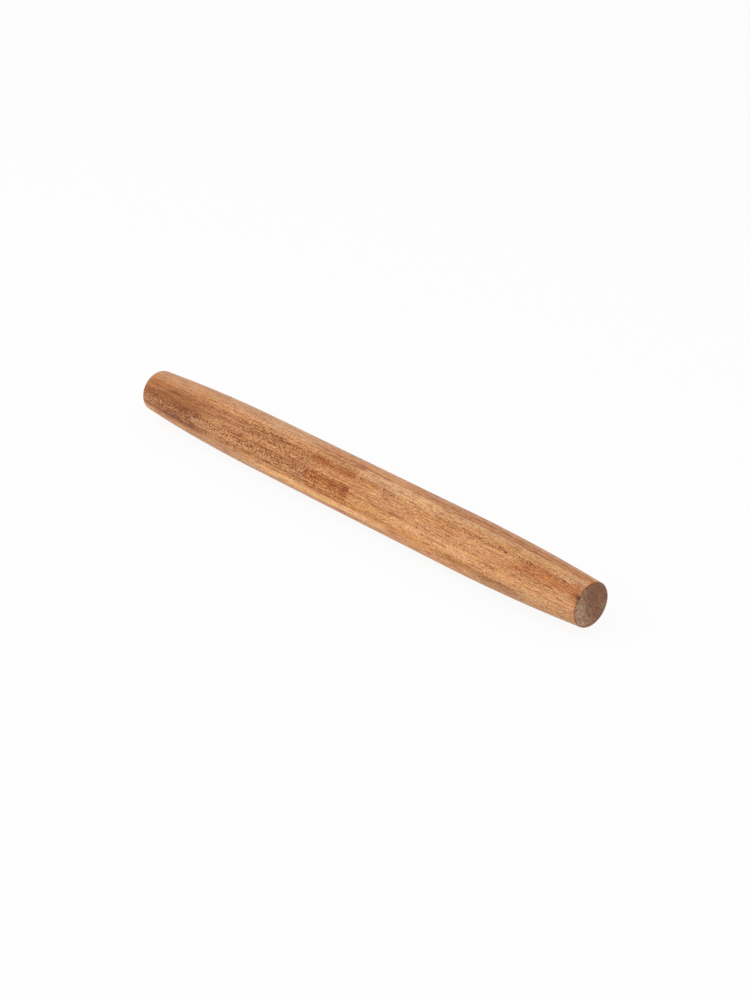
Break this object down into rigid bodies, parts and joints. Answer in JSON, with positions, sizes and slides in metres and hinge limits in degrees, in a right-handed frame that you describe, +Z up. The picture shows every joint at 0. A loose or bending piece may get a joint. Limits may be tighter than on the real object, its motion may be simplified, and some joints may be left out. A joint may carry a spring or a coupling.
{
  "type": "french rolling pin",
  "caption": "Solid turned hardwood rolling pin without handles: cylindrical barrel, arc tapers to flat ends with eased rims, for rolling out dough and pastry.",
  "frame": {"origin": "on the pin's axis, halfway along its length", "axes": "+X along the pin's axis, +Z up as the pin lies on a worktop"},
  "size_m": [0.45, 0.041, 0.041],
  "materials": {
    "oiled_hardwood": "satin"
  },
  "bodies": {
    "root": {"pin_body": "oiled_hardwood"}
  },
  "joints": []
}
